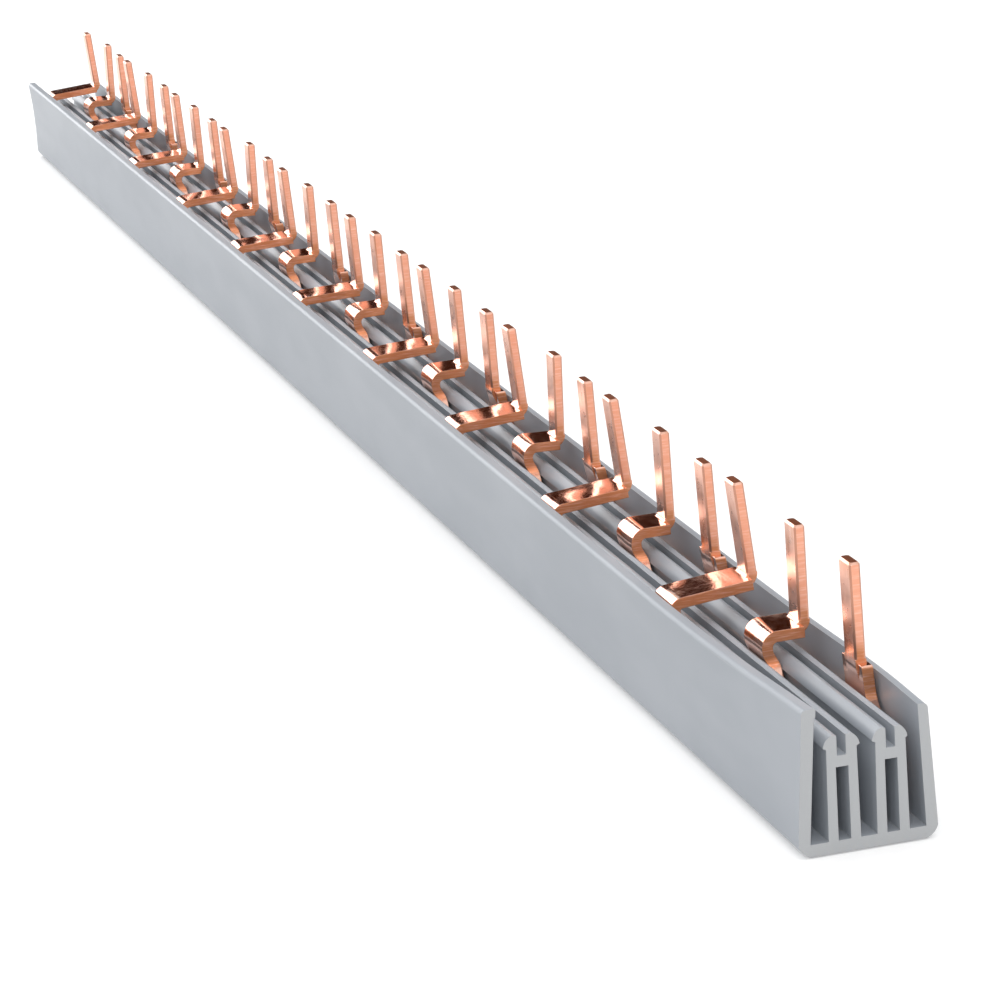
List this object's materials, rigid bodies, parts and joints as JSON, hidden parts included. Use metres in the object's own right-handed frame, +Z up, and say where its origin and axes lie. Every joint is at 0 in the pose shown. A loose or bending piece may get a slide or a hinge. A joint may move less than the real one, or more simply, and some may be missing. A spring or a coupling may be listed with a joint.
{
  "type": "comb busbar",
  "caption": "Pin comb busbar: copper combs stand in the slots of a long insulating profile, with upright pins in one row for screw terminals.",
  "frame": {"origin": "middle of the profile's flat underside, halfway along the rail", "axes": "+X along the rail, +Y towards the side where the pins stand, +Z up along the pins"},
  "size_m": [0.5502, 0.0191, 0.0337],
  "materials": {
    "grey_pvc": "satin, extruded",
    "copper": "bare copper, sheared edges"
  },
  "bodies": {
    "root": {"insulating_profile": "grey_pvc", "front_phase_comb": "copper", "middle_phase_comb": "copper", "rear_phase_comb": "copper"}
  },
  "joints": []
}
